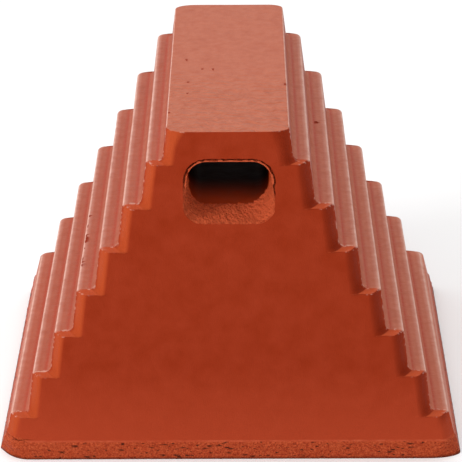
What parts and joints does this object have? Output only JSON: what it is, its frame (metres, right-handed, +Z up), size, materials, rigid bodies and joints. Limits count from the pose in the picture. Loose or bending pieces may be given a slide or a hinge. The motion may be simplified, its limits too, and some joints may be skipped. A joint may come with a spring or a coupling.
{
  "type": "rubber wheel chock",
  "caption": "Moulded rubber wheel chock, a ridge with stepped sides, a flat top and a rope slot through it, for stopping a parked trailer or caravan wheel.",
  "frame": {"origin": "middle of the base, on the floor", "axes": "+Z up; the steps climb from both sides along X, and the rope slot runs along Y from end to end"},
  "size_m": [0.2678, 0.2074, 0.203],
  "materials": {
    "chock_rubber": "satin brick-red moulded rubber, rough and trimmed round the foot and in the slot's mouths"
  },
  "bodies": {
    "root": {"chock_body": "chock_rubber"}
  },
  "joints": []
}
